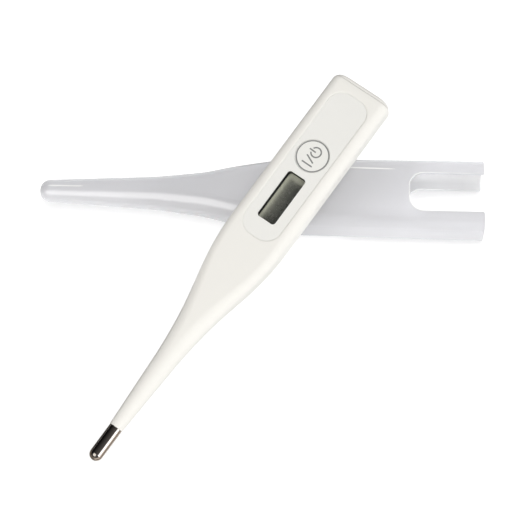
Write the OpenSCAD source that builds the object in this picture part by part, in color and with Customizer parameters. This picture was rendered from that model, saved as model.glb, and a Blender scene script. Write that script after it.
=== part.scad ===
// Pencil-type digital thermometer lying across its own slide-on storage case.
// Millimetres. Row frame: X along the storage case from its closed tip to its open
// end, Y across it, Z up from the surface that both lie on. Origin: the middle of the
// footprint, on that surface.
// The thermometer is drawn in its own frame: X along the probe axis from the tip to the
// rear end, Y to its left, Z up through the display. at_rest() lays it in the row frame.

/* [Thermometer body] */
// Overall length, probe tip to rear end
body_len = 132.5; // [132:0.1:133]
// Width of the rear body
body_w = 19.25; // [19.1:0.05:19.35]
// Height of the top face above the probe axis
top_h = 4.6; // [4.55:0.01:4.65]
// Depth of the underside below the probe axis
under_h = 5.2; // [5.15:0.01:5.22]
// Wall of the housing at the body
wall = 1.2; // [1.15:0.01:1.22]
// Radius of the edges round the top face
edge_top = 2.8; // [2.6:0.05:2.85]
// Radius of the edges round the underside
edge_under = 4.0; // [3.6:0.1:4.2]
// Plan radius of the rear corners
rear_r = 2.3; // [2:0.1:2.5]
// Distance from the probe tip to the joint of the end cap
cap_joint = 131.4; // [131.2:0.05:131.6]

/* [Probe] */
// Length of steel that shows
steel_len = 11.2; // [10.8:0.1:11.6]
// Outer radius of the steel tip
steel_r = 1.97; // [1.94:0.01:1.99]
// Wall of the steel tip
steel_wall = 0.2; // [0.18:0.01:0.22]
// Radius of the plastic neck where the steel begins
neck_r = 2.1; // [2.05:0.01:2.15]

/* [Label, display and button] */
// Start of the label, from the probe tip
label_s1 = 78.1; // [77.8:0.1:78.4]
// End of the label, from the probe tip
label_s2 = 128.2; // [127.8:0.1:128.4]
// Half width of the label at the display end
label_w1 = 6.12; // [6:0.01:6.2]
// Half width of the label at the rear end
label_w2 = 6.25; // [6.1:0.01:6.4]
// Thickness of the label
label_t = 0.3; // [0.26:0.01:0.34]
// Start of the display window, from the probe tip
win_s1 = 83.74; // [83.6:0.02:84]
// End of the display window, from the probe tip
win_s2 = 99.9; // [99.7:0.02:99.96]
// Half width of the display window
win_w = 3.05; // [2.9:0.01:3.1]
// Radius of the display window's corners
win_r = 1.0; // [0.7:0.05:1.2]
// Distance from the probe tip to the middle of the button
key_s = 106.94; // [106.84:0.02:107.1]
// Radius of the round of label film over the button
film_r = 4.95; // [4.9:0.01:4.97]
// Radius of the key under the film
key_r = 3.6; // [3.4:0.05:3.65]
// Travel of the button
key_travel = 0.35; // [0.3:0.01:0.36]

/* [Storage case] */
// Length of the case
case_len = 130.8; // [130:0.2:131.6]
// Width of the case at its open end
case_w = 22.5; // [22.3:0.1:22.8]
// Thickness of the case
case_t = 12.0; // [11.9:0.05:12.1]
// Wall of the case
case_wall = 0.9; // [0.8:0.02:0.92]
// Radius of the closed tip's sleeve
sleeve_r = 3.3; // [3.25:0.01:3.4]
// Width of the finger slot
slot_w = 12.1; // [11.9:0.1:12.5]
// Depth of the finger slot from the open end
slot_len = 21.9; // [20:0.1:24]
// Radius of the slot's inner corners
slot_r = 4.2; // [3:0.1:5]

/* [Resting pose] */
// Slope of the thermometer across the case
pitch = 10.17; // [10.14:0.01:10.3]
// Direction of the thermometer in plan, from the case's axis
heading = 54.9; // [54:0.1:56]
// Place of the probe tip in X
tip_x = -45.50; // [-46:0.01:-45]
// Place of the probe tip in Y
tip_y = -55.60; // [-56:0.01:-55]
// Height of the probe axis at the tip
tip_z = 1.70; // [1.7:0.01:1.75]
// Place of the case's axis in Y
case_y = 25.70; // [25:0.01:26]

/* [Hidden] */
$fn = 64;

e0 = 0.03;                        // shortest flat between two corner arcs
ka = 9;                           // chords in each corner arc
half = body_w/2;
label_top = top_h - 0.15;
label_bot = label_top - label_t;
in_top = top_h - wall;            // inner face over the works
in_under = under_h - wall;
lcd_z = 1.95;                     // top of the display stack under its window
pcb_top = -0.15;
pcb_bot = -0.95;
cell_s = 119.4;                   // middle of the button cell
cell_r = 3.95;
cell_z1 = -2.15;
cell_z2 = 1.45;

// ---------- shape rules ----------
function ramp(u) = u <= 0 ? 0 : u >= 1 ? 1 : u*u*(3 - 2*u);
function mix(a, b, k) = a + (b - a)*k;
// cubic from (0, y0) with slope m0 to (1, y1) with slope 0
function ease(u, y0, m0, y1) = (2*u*u*u - 3*u*u + 1)*y0 + (u*u*u - 2*u*u + u)*m0 + (3*u*u - 2*u*u*u)*y1;

// the same with slope m1 at the end
function bend(u, y0, m0, y1, m1) = ease(u, y0, m0, y1) + (u*u*u - u*u)*m1;

// half width and half heights of the thermometer at distance s from the tip
function cone(s) = neck_r + 0.055*(s - steel_len);
function swell(k) = mix(cone(34), half, k);
function hw(s) = s < 34 ? cone(s)
    : s < 46 ? bend((s - 34)/12, cone(34), 0.66, swell(0.191), 1.56)
    : s < 58 ? bend((s - 46)/12, swell(0.191), 1.56, swell(0.534), 2.58)
    : s < 68 ? bend((s - 58)/10, swell(0.534), 2.15, swell(0.847), 1.55)
    : s < 80 ? bend((s - 68)/12, swell(0.847), 1.86, half, 0) : half;
function rise(s, full) = s < 38 ? cone(s) : s > 66 ? full : ease((s - 38)/28, cone(38), 0.055*28, full);
function inset(s) = s <= body_len - rear_r ? 0 : rear_r - sqrt(max(0, rear_r*rear_r - pow(s - body_len + rear_r, 2)));
function edge(s, full, up) = mix(min(up, hw(s)) - e0, full, ramp((s - 40)/32));
function skin(s) = mix(neck_r - 1.0, wall, ramp((s - 30)/40));

// four corner arcs joined by flats, at x = s; a half width, t and b heights, rt and rb radii
function ring(s, a, t, b, rt, rb) = concat(
    [for (i = [0:ka]) let(q = 90*i/ka) [s,  a - rt + rt*cos(q),  t - rt + rt*sin(q)]],
    [for (i = [0:ka]) let(q = 90 + 90*i/ka) [s, -a + rt + rt*cos(q),  t - rt + rt*sin(q)]],
    [for (i = [0:ka]) let(q = 180 + 90*i/ka) [s, -a + rb + rb*cos(q), -b + rb + rb*sin(q)]],
    [for (i = [0:ka]) let(q = 270 + 90*i/ka) [s,  a - rb + rb*cos(q), -b + rb + rb*sin(q)]]);
nr = 4*(ka + 1);

function outer(s) = let(k = inset(s)) ring(s, hw(s) - k, rise(s, top_h) - 0.6*k, rise(s, under_h) - 0.6*k,
    edge(s, edge_top, rise(s, top_h)), edge(s, edge_under, rise(s, under_h)));
function inner(s) = let(w = skin(s)) ring(s, hw(s) - w, rise(s, top_h) - w, rise(s, under_h) - w,
    edge(s, edge_top, rise(s, top_h)) - w, edge(s, edge_under, rise(s, under_h)) - w);

// case: half width and half height at distance u from the closed tip
function sleeve(u) = sleeve_r + 0.052*(u - 3.4);
function flare(s) = mix(cone(s), 9.7, ramp((s - 38)/38));
function shoulder(u) = 0.4*ramp(1 - abs(u - 42)/9) - 0.42*ramp(1 - abs(u - 66)/13);
function case_hw(u) = let(c = sleeve(u))
    u < 28 ? c : max(c, flare(u - 1.2) + 1.62 - 0.47*ramp((u - 45)/32)
        + (case_w/2 - 10.85)*ramp((u - 76)/(case_len - 76)) + shoulder(u));
function case_hh(u) = u < 34 ? sleeve(u) : u > 68 ? case_t/2 : ease((u - 34)/34, sleeve(34), 0.052*34, case_t/2);
function case_edge(u) = mix(min(case_hh(u), case_hw(u)) - e0, 3.2, ramp((u - 40)/36));
// rounding of the closed tip
function nose(u) = u >= 3.4 ? 1 : sqrt(max(0, 1 - pow(1 - u/3.4, 2.6)));
function case_ring(u, w) = let(k = nose(u), a = k*case_hw(u) - w, h = k*case_hh(u) - w, r = min(k*case_edge(u) - w, min(a, h) - e0))
    ring(u - case_len/2, a, h, h, r, r);
function case_inner(u) = let(a = case_hw(u) - case_wall, h = case_hh(u) - case_wall, r = case_edge(u) - case_wall,
    k = u >= 4.2 ? 1 : sqrt(max(0, 1 - pow((4.2 - u)/3.2, 2.6))))
    ring(u - case_len/2, a*k, h*k, h*k, min(r*k, min(a, h)*k - e0), min(r*k, min(a, h)*k - e0));

// faces are listed counter-clockwise from outside and turned round here
function turned(fs) = [for (f = fs) [for (i = [len(f) - 1:-1:0]) f[i]]];
// closed skin through rings of nr points each, first and last ring capped
module loft(rings) {
    n = len(rings);
    polyhedron(
        points = [for (g = rings) for (p = g) p],
        faces = turned(concat(
            [[for (j = [nr - 1:-1:0]) j]],
            [for (i = [0:n - 2]) for (j = [0:nr - 1]) let(k = (j + 1) % nr)
                [i*nr + j, i*nr + k, (i + 1)*nr + k, (i + 1)*nr + j]],
            [[for (j = [0:nr - 1]) (n - 1)*nr + j]])),
        convexity = 6);
}
// tube between outer and inner rings, open at both ends
module tube_loft(outs, ins) {
    n = len(outs); m = len(ins); z = n*nr;
    polyhedron(
        points = concat([for (g = outs) for (p = g) p], [for (g = ins) for (p = g) p]),
        faces = turned(concat(
            [for (i = [0:n - 2]) for (j = [0:nr - 1]) let(k = (j + 1) % nr)
                [i*nr + j, i*nr + k, (i + 1)*nr + k, (i + 1)*nr + j]],
            [for (i = [0:m - 2]) for (j = [0:nr - 1]) let(k = (j + 1) % nr)
                [z + i*nr + j, z + (i + 1)*nr + j, z + (i + 1)*nr + k, z + i*nr + k]],
            [for (j = [0:nr - 1]) let(k = (j + 1) % nr) [j, z + j, z + k, k]],
            [for (j = [0:nr - 1]) let(k = (j + 1) % nr)
                [(n - 1)*nr + j, (n - 1)*nr + k, z + (m - 1)*nr + k, z + (m - 1)*nr + j]])),
        convexity = 8);
}
// cup: closed at the first ring of both skins, open at the last
module cup_loft(outs, ins) {
    n = len(outs); m = len(ins); z = n*nr;
    polyhedron(
        points = concat([for (g = outs) for (p = g) p], [for (g = ins) for (p = g) p]),
        faces = turned(concat(
            [[for (j = [nr - 1:-1:0]) j]],
            [[for (j = [0:nr - 1]) z + j]],
            [for (i = [0:n - 2]) for (j = [0:nr - 1]) let(k = (j + 1) % nr)
                [i*nr + j, i*nr + k, (i + 1)*nr + k, (i + 1)*nr + j]],
            [for (i = [0:m - 2]) for (j = [0:nr - 1]) let(k = (j + 1) % nr)
                [z + i*nr + j, z + (i + 1)*nr + j, z + (i + 1)*nr + k, z + i*nr + k]],
            [for (j = [0:nr - 1]) let(k = (j + 1) % nr)
                [(n - 1)*nr + j, (n - 1)*nr + k, z + (m - 1)*nr + k, z + (m - 1)*nr + j]])),
        convexity = 8);
}

module at_rest() translate([tip_x, tip_y, tip_z]) rotate([0, -pitch, heading]) children();

// rod along X from s1 to s2
module rod(s1, s2, r) translate([s1, 0, 0]) rotate([0, 90, 0]) cylinder(r = r, h = s2 - s1);
// block from two opposite corners
module block(p, q) translate(p) cube(q - p);
// upright disc or plug on the thermometer
module disc(s, z1, z2, r) translate([s, 0, z1]) cylinder(r = r, h = z2 - z1);
// rounded rectangle in plan, from exact arcs
module round_rect(x1, x2, w, r) {
    translate([x1 + r, -w]) square([x2 - x1 - 2*r, 2*w]);
    translate([x1, -w + r]) square([x2 - x1, 2*w - 2*r]);
    for (x = [x1 + r, x2 - r]) for (y = [-w + r, w - r]) translate([x, y]) circle(r = r);
}
module round_plate(x1, x2, w, r, z1, z2) translate([0, 0, z1]) linear_extrude(z2 - z1) round_rect(x1, x2, w, r);

// outline of the label, grown by g
function arc(x, y, r, q1, q2) = [for (i = [0:10]) let(q = mix(q1, q2, i/10)) [x + r*cos(q), y + r*sin(q)]];
function label_line(g) = let(r1 = 4.9, r2 = 4.6) concat(
    arc(label_s2 - r2, label_w2 - r2, r2 + g, 0, 90),
    arc(label_s1 + r1, label_w1 - r1, r1 + g, 90, 180),
    arc(label_s1 + r1, -label_w1 + r1, r1 + g, 180, 270),
    arc(label_s2 - r2, -label_w2 + r2, r2 + g, 270, 360));

// ---------- storage case ----------
case_us = concat([0.03, 0.25, 0.7, 1.3, 2.1, 2.8], [3.4, 8, 14, 20, 26, 30, 34, 37], [for (u = [40:2.5:90]) u], [110, case_len]);
case_ui = concat([1.03, 1.25, 1.7, 2.4, 3.2, 4.2], [8, 14, 20, 26, 30, 34, 37], [for (u = [40:2.5:90]) u], [110, case_len]);
module storage_case() color([0.86, 0.87, 0.89, 0.6]) translate([0, case_y, case_t/2])
    difference() {
        cup_loft([for (u = case_us) case_ring(u, 0)], [for (u = case_ui) case_inner(u)]);
        // finger slot through both broad walls
        translate([0, 0, -case_t]) linear_extrude(2*case_t)
            round_rect(case_len/2 - slot_len, case_len/2 + 12, slot_w/2, slot_r);
    }

// ---------- housing and end cap ----------
neck_us = concat([steel_len, 16, 21, 26, 30, 34, 37], [for (s = [40:2:80]) s]);
module housing() color([0.96, 0.955, 0.935]) at_rest()
    difference() {
        union() {
            tube_loft([for (s = concat(neck_us, [body_len - rear_r, 130.6, 131.0, cap_joint - 0.05])) outer(s)],
                      [for (s = concat(neck_us, [cap_joint - 0.05])) inner(s)]);
            // spigot that the steel tip is pushed on to
            difference() { rod(steel_len - 4, steel_len + 0.6, steel_r - steel_wall - 0.05); rod(steel_len - 5, steel_len + 1, 1.0); }
            // boss that guides the key
            disc(key_s, in_top - 0.5, in_top + 0.3, 5.0);
        }
        // pocket for the label
        translate([0, 0, label_bot]) linear_extrude(2) polygon(label_line(0.07));
        // window opening
        round_plate(win_s1 - 0.4, win_s2 + 0.4, win_w + 0.4, win_r + 0.4, 2, 6);
        // key bore and the well that the film is pressed into
        disc(key_s, 2, 6, key_r + 0.08);
        disc(key_s, label_bot - key_travel - 0.06, 6, film_r + 0.17);
    }
module battery_cover() color([0.96, 0.955, 0.935]) at_rest()
    union() {
        loft([for (s = [cap_joint + 0.04, cap_joint + 0.3, cap_joint + 0.55, body_len - 0.3, body_len - 0.12, body_len - 0.02]) outer(s)]);
        // spigot that plugs into the housing
        translate([cap_joint - 6.4, 0, (in_top - in_under)/2]) rotate([90, 0, 90]) linear_extrude(6.5) difference() {
            translate([0, 0]) round_rect(-half + wall + 0.15, half - wall - 0.15, (in_top + in_under)/2 - 0.15, 2.7);
            translate([0, 0]) round_rect(-half + wall + 1.15, half - wall - 1.15, (in_top + in_under)/2 - 1.15, 1.7);
        }
    }

// ---------- label and button ----------
module front_label() color([0.93, 0.935, 0.93]) at_rest()
    difference() {
        translate([0, 0, label_bot]) linear_extrude(label_t) polygon(label_line(0));
        round_plate(win_s1, win_s2, win_w, win_r, 2, 6);
        disc(key_s, 2, 6, film_r + 0.1);
    }
module button_film() color([0.93, 0.935, 0.93]) at_rest() disc(key_s, label_bot, label_top, film_r);
module power_button() color([0.9, 0.9, 0.88]) at_rest()
    union() {
        disc(key_s, in_top - 0.6, label_bot, key_r);
        disc(key_s, in_top - 1.2, in_top - 0.55, key_r + 0.9);
        disc(key_s, 0.75, in_top - 1.1, 1.3);
    }
// thin domed contact under the key
module switch_dome() color([0.75, 0.75, 0.76]) at_rest() translate([key_s, 0, pcb_top])
    rotate_extrude() difference() {
        intersection() { translate([0, 0.5 - 6.5]) circle(r = 6.5, $fn = 128); square([2.5, 0.5]); }
        translate([0, 0.4 - 6.5]) circle(r = 6.5, $fn = 128);
    }

// ---------- display ----------
module display_bezel() color([0.06, 0.06, 0.06]) at_rest()
    difference() {
        union() {
            round_plate(win_s1 - 0.37, win_s2 + 0.37, win_w + 0.37, win_r + 0.37, lcd_z + 0.55, label_bot);
            round_plate(win_s1 - 1.9, win_s2 + 1.8, win_w + 1.7, 0.8, lcd_z + 0.55, in_top);
        }
        round_plate(win_s1, win_s2, win_w, win_r, lcd_z + 0.8, 6);
        // lip at the foot of the frame, over the edge of the pane
        round_plate(win_s1 + 0.05, win_s2 - 0.05, win_w - 0.25, win_r - 0.1, 0, 6);
    }
module display_window() color([0.8, 0.85, 0.85, 0.35]) at_rest()
    round_plate(win_s1 - 1.5, win_s2 + 1.5, win_w + 1.4, 0.5, lcd_z + 0.05, lcd_z + 0.55);
module lcd_polariser() color([0.45, 0.46, 0.4]) at_rest()
    block([win_s1 - 1.0, -4.0, lcd_z - 0.15], [win_s2 + 1.0, 4.0, lcd_z]);
module lcd_panel() color([0.62, 0.66, 0.6]) at_rest()
    union() {
        block([win_s1 - 1.96, -5.0, lcd_z - 0.7], [win_s2 + 2.0, 5.0, lcd_z - 0.15]);
        block([win_s1 - 1.96, -3.4, lcd_z - 1.25], [win_s2 + 2.0, 5.0, lcd_z - 0.65]);
    }
module lcd_reflector() color([0.7, 0.71, 0.66]) at_rest()
    block([win_s1 - 0.9, -3.2, lcd_z - 1.4], [win_s2 + 0.9, 4.4, lcd_z - 1.25]);
module zebra_connector() color([0.85, 0.5, 0.55]) at_rest()
    block([win_s1 - 0.9, -4.9, pcb_top], [win_s2 + 0.9, -3.7, lcd_z - 0.7]);

// ---------- works ----------
module inner_frame() color([0.88, 0.88, 0.86]) at_rest()
    union() {
        difference() {
            union() {
                // rails and the ledges that the board lies on
                for (m = [-1, 1]) {
                    block([76, m > 0 ? 6.75 : -8.1, -1.6], [124.4, m > 0 ? 8.1 : -6.75, 0.6]);
                    block([76, m > 0 ? 5.9 : -6.8, -1.6], [114.2, m > 0 ? 6.8 : -5.9, pcb_bot]);
                }
                // bars that carry the ends of the display
                for (s = [win_s1 - 3.4, win_s2 + 1.4]) block([s, -6.9, pcb_top + 0.04], [s + 2.0, 6.9, lcd_z - 1.27]);
                block([win_s1 - 3.4, -6.9, 0.4], [win_s1 - 2.05, 6.9, lcd_z - 0.2]);
                block([win_s2 + 2.08, -6.9, 0.4], [win_s2 + 3.4, 6.9, lcd_z - 0.2]);
                // rib beside the connector strip
                block([win_s1 - 3.0, -5.7, pcb_top + 0.04], [win_s2 + 3.0, -5.0, lcd_z - 1.27]);
                // block that holds the cell
                block([114, -7.0, -2.1], [124.4, 7.0, 1.4]);
                // seat of the sounder
                translate([92, 0, -3.4]) cylinder(r = 6.2, h = 3.4 + pcb_bot - 0.05);
            }
            // pocket of the cell, open to the rear
            translate([cell_s, 0, -5]) cylinder(r = cell_r + 0.08, h = 10);
            block([cell_s, -cell_r - 0.08, -5], [130, cell_r + 0.08, 5]);
            translate([92, 0, -5]) cylinder(r = 4.6, h = 5);
        }
    }
module circuit_board() color([0.1, 0.38, 0.22]) at_rest()
    translate([0, 0, pcb_bot]) linear_extrude(pcb_top - pcb_bot)
        polygon([[60, -3], [63, -3], [74, -6.6], [113, -6.6], [113, 6.6], [74, 6.6], [63, 3], [60, 3]]);
// moulded cap over the processor
module controller_chip() color([0.07, 0.07, 0.08]) at_rest() translate([80, 0, pcb_bot - 1.0])
    rotate_extrude() intersection() { translate([0, 5.62]) circle(r = 5.62, $fn = 128); square([3.2, 1.0]); }
module board_components() color([0.55, 0.45, 0.35]) at_rest()
    for (p = [[68, -1.6], [68, 1.6], [71.5, -2.6], [71.5, 0], [71.5, 2.6], [101, -3.6], [104, -3.6], [104, 3.6]])
        block([p[0] - 0.8, p[1] - 0.4, pcb_bot - 0.6], [p[0] + 0.8, p[1] + 0.4, pcb_bot]);
module buzzer_plate() color([0.8, 0.62, 0.25]) at_rest() disc(92, -3.6, -3.4, 5.2);
module buzzer_ceramic() color([0.92, 0.91, 0.86]) at_rest() disc(92, -3.4, -3.2, 3.6);
// button cell, 7.9 x 3.6, rim down
module battery_cell() color([0.78, 0.78, 0.77]) at_rest()
    union() { disc(cell_s, cell_z1, cell_z2 - 0.35, cell_r); disc(cell_s, cell_z2 - 0.4, cell_z2, cell_r - 0.75); }
// bent strips of spring steel, drawn from the side
module strip(w, line) rotate([90, 0, 0]) translate([0, 0, -w]) linear_extrude(2*w) polygon(line);
module battery_contact_positive() color([0.8, 0.8, 0.8]) at_rest()
    strip(1.5, [[110.6, pcb_bot], [110.6, cell_z1 - 0.25], [122.6, cell_z1 - 0.25], [122.6, cell_z1 - 0.05], [110.8, cell_z1 - 0.05], [110.8, pcb_bot]]);
module battery_contact_negative() color([0.8, 0.8, 0.8]) at_rest()
    strip(1.2, [[111.9, pcb_top], [111.9, cell_z2 + 0.25], [121.8, cell_z2 + 0.25], [121.8, cell_z2 + 0.05], [112.1, cell_z2 + 0.05], [112.1, pcb_top]]);

// ---------- probe ----------
// drawn steel cap with a round end
module probe_tip() color([0.6, 0.58, 0.55]) at_rest() translate([steel_len - 0.02, 0, 0]) rotate([0, -90, 0])
    rotate_extrude() difference() {
        union() { square([steel_r, steel_len - 0.02 - steel_r]); intersection() { translate([0, steel_len - 0.02 - steel_r]) circle(r = steel_r); square([steel_r, steel_len]); } }
        translate([0, -1]) square([steel_r - steel_wall, steel_len + 0.98 - steel_r]);
        translate([0, steel_len - 0.02 - steel_r]) circle(r = steel_r - steel_wall);
    }
module bead_line(g) {
    translate([0, 1.55]) intersection() { circle(r = 0.6 + g); translate([0, -2]) square([2, 4]); }
    translate([0, 1.55]) square([0.6 + g, 1.2]);
    translate([0, 2.75]) intersection() { circle(r = 0.6 + g); translate([0, -2]) square([2, 4]); }
}
module tip_potting() color([0.35, 0.33, 0.3]) at_rest()
    difference() {
        rotate([0, 90, 0]) rotate_extrude() difference() {
            union() {
                translate([0, steel_r]) square([steel_r - steel_wall - 0.02, 6.9 - steel_r]);
                intersection() { translate([0, steel_r]) circle(r = steel_r - steel_wall - 0.02); square([steel_r, steel_r + 0.01]); }
            }
            bead_line(0.02);
        }
        for (y = [-0.32, 0.32]) translate([0, y, 0]) rod(2.6, 8, 0.15);
    }
module thermistor_bead() color([0.15, 0.12, 0.1]) at_rest() rotate([0, 90, 0]) rotate_extrude() bead_line(0);
module thermistor_leads() color([0.75, 0.35, 0.2]) at_rest() for (y = [-0.32, 0.32]) translate([0, y, 0]) rod(3.3, 66, 0.13);

storage_case();
housing();
battery_cover();
front_label();
button_film();
power_button();
switch_dome();
display_bezel();
display_window();
lcd_polariser();
lcd_panel();
lcd_reflector();
zebra_connector();
inner_frame();
circuit_board();
controller_chip();
board_components();
buzzer_plate();
buzzer_ceramic();
battery_cell();
battery_contact_positive();
battery_contact_negative();
probe_tip();
tip_potting();
thermistor_bead();
thermistor_leads();
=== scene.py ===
"""Pencil-type digital thermometer lying across its translucent slide-on case.

Smooth shells are rebuilt from the same shape rules as the construction model, in
millimetres in each piece's own frame, then laid in the shared frame in metres.
"""

from math import atan2, cos, pi, radians, sin, sqrt

import bmesh
import bpy
from mathutils import Matrix, Vector


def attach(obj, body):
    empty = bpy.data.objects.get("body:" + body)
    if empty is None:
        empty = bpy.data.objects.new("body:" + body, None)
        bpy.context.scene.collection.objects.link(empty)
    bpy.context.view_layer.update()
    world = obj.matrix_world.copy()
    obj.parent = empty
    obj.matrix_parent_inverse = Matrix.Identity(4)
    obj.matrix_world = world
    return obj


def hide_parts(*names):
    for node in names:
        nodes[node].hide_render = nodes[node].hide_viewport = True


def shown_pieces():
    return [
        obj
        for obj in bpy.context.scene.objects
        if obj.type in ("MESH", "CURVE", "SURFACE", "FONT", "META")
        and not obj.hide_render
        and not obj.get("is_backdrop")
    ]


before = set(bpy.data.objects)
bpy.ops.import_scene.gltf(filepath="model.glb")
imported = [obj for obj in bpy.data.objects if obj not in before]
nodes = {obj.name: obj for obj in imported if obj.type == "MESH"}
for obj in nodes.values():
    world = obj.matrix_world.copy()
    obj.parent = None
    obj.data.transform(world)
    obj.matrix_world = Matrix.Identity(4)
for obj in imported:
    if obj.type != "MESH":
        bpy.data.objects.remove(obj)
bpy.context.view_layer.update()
scene = bpy.context.scene

# ---------------------------------------------------------------- driving sizes, mm
BODY_LEN, HALF, TOP_H, UNDER_H, WALL = 132.5, 9.625, 4.6, 5.2, 1.2
EDGE_TOP, EDGE_UNDER, REAR_R, CAP_JOINT = 2.8, 4.0, 2.3, 131.4
STEEL_LEN, STEEL_R, STEEL_WALL, NECK_R = 11.2, 1.97, 0.2, 2.1
LABEL_S1, LABEL_S2, LABEL_W1, LABEL_W2 = 78.1, 128.2, 6.12, 6.25
LABEL_TOP, LABEL_BOT = 4.45, 4.15
WIN_S1, WIN_S2, WIN_W, WIN_R = 83.74, 99.9, 3.05, 1.0
KEY_S, FILM_R, KEY_R, KEY_TRAVEL = 106.94, 4.95, 3.6, 0.35
CASE_LEN, CASE_W, CASE_T, CASE_WALL = 130.8, 22.5, 12.0, 0.9
SLEEVE_R, SLOT_W, SLOT_LEN, SLOT_R = 3.3, 12.1, 21.9, 4.2
IN_TOP, IN_UNDER = TOP_H - WALL, UNDER_H - WALL
E0 = 0.03

# ---------------------------------------------------------------- frames
psi, pitch = radians(54.9), radians(10.17)
AX = Vector((cos(pitch) * cos(psi), cos(pitch) * sin(psi), sin(pitch)))
LEFT = Vector((-sin(psi), cos(psi), 0.0))
UP = AX.cross(LEFT)
TIP = Vector((-45.50, -55.60, 1.70))
MM = Matrix.Scale(0.001, 4)
BODY = MM @ Matrix.Translation(TIP) @ Matrix((AX, LEFT, UP)).transposed().to_4x4()
CASE = MM @ Matrix.Translation(Vector((0.0, 25.70, CASE_T / 2)))


# ---------------------------------------------------------------- shape rules
def ramp(u):
    return 0.0 if u <= 0 else 1.0 if u >= 1 else u * u * (3 - 2 * u)


def mix(a, b, k):
    return a + (b - a) * k


def ease(u, y0, m0, y1):
    return (2 * u**3 - 3 * u**2 + 1) * y0 + (u**3 - 2 * u**2 + u) * m0 + (3 * u**2 - 2 * u**3) * y1


def cone(s):
    return NECK_R + 0.055 * (s - STEEL_LEN)


def bend(u, y0, m0, y1, m1):
    return ease(u, y0, m0, y1) + (u**3 - u**2) * m1


def swell(k):
    return mix(cone(34), HALF, k)


def hw(s):
    if s < 34:
        return cone(s)
    if s < 46:
        return bend((s - 34) / 12, cone(34), 0.66, swell(0.191), 1.56)
    if s < 58:
        return bend((s - 46) / 12, swell(0.191), 1.56, swell(0.534), 2.58)
    if s < 68:
        return bend((s - 58) / 10, swell(0.534), 2.15, swell(0.847), 1.55)
    return bend((s - 68) / 12, swell(0.847), 1.86, HALF, 0.0) if s < 80 else HALF


def rise(s, full):
    return cone(s) if s < 38 else full if s > 66 else ease((s - 38) / 28, cone(38), 0.055 * 28, full)


def inset(s):
    return 0.0 if s <= BODY_LEN - REAR_R else REAR_R - sqrt(max(0.0, REAR_R**2 - (s - BODY_LEN + REAR_R) ** 2))


def edge(s, full, up):
    return mix(min(up, hw(s)) - E0, full, ramp((s - 40) / 32))


def skin(s):
    return mix(NECK_R - 1.0, WALL, ramp((s - 30) / 40))


KA = 16


def ring(s, a, t, b, rt, rb):
    """Four corner arcs joined by flats, in the plane x = s."""
    out = []
    for q0, sy, up, r in ((0, 1, True, rt), (90, -1, True, rt), (180, -1, False, rb), (270, 1, False, rb)):
        for i in range(KA + 1):
            q = radians(q0 + 90 * i / KA)
            cy = sy * (a - r)
            cz = (t - r) if up else (-b + r)
            out.append((s, cy + r * cos(q), cz + r * sin(q)))
    return out


def outer(s, shave=0.0):
    k = inset(s)
    rt, rb = edge(s, EDGE_TOP, rise(s, TOP_H)), edge(s, EDGE_UNDER, rise(s, UNDER_H))
    return ring(s, hw(s) - k - shave, rise(s, TOP_H) - 0.6 * k - shave, rise(s, UNDER_H) - 0.6 * k - shave, rt - shave, rb - shave)


def inner(s, grow=0.0):
    w = skin(s) - grow
    rt, rb = edge(s, EDGE_TOP, rise(s, TOP_H)), edge(s, EDGE_UNDER, rise(s, UNDER_H))
    return ring(s, hw(s) - w, rise(s, TOP_H) - w, rise(s, UNDER_H) - w, rt - w, rb - w)


def round_ring(s, r):
    return ring(s, r, r, r, r - min(E0, 0.1 * r), r - min(E0, 0.1 * r))


def sleeve(u):
    return SLEEVE_R + 0.052 * (u - 3.4)


def flare(s):
    return mix(cone(s), 9.7, ramp((s - 38) / 38))


def shoulder(u):
    return 0.4 * ramp(1 - abs(u - 42) / 9) - 0.42 * ramp(1 - abs(u - 66) / 13)


def case_hw(u):
    if u < 28:
        return sleeve(u)
    return max(sleeve(u), flare(u - 1.2) + 1.62 - 0.47 * ramp((u - 45) / 32) + (CASE_W / 2 - 10.85) * ramp((u - 76) / (CASE_LEN - 76)) + shoulder(u))


def case_hh(u):
    return sleeve(u) if u < 34 else CASE_T / 2 if u > 68 else ease((u - 34) / 34, sleeve(34), 0.052 * 34, CASE_T / 2)


def case_edge(u):
    return mix(min(case_hh(u), case_hw(u)) - E0, 3.2, ramp((u - 40) / 36))


def case_outer(u, shave=0.0):
    k = 1.0 if u >= 3.4 else sqrt(max(0.0, 1 - (1 - u / 3.4) ** 2.6))
    a, h = k * case_hw(u) - shave, k * case_hh(u) - shave
    r = min(k * case_edge(u) - shave, min(a, h) * 0.995)
    return ring(u - CASE_LEN / 2, a, h, h, r, r)


def case_inner(u, grow=0.0):
    k = 1.0 if u >= 4.2 else sqrt(max(0.0, 1 - ((4.2 - u) / 3.2) ** 2.6))
    a, h = (case_hw(u) - CASE_WALL + grow) * k, (case_hh(u) - CASE_WALL + grow) * k
    r = min((case_edge(u) - CASE_WALL + grow) * k, min(a, h) * 0.995)
    return ring(u - CASE_LEN / 2, a, h, h, r, r)


def spread(a, b, step):
    n = max(1, round((b - a) / step))
    return [a + (b - a) * i / n for i in range(n + 1)]


# ---------------------------------------------------------------- mesh helpers
def mesh_of(name, points, faces):
    me = bpy.data.meshes.new(name)
    me.from_pydata([tuple(p) for p in points], [], faces)
    bm = bmesh.new()
    bm.from_mesh(me)
    bmesh.ops.remove_doubles(bm, verts=bm.verts, dist=1e-5)
    bmesh.ops.recalc_face_normals(bm, faces=bm.faces)
    bm.to_mesh(me)
    bm.free()
    return me


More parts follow.
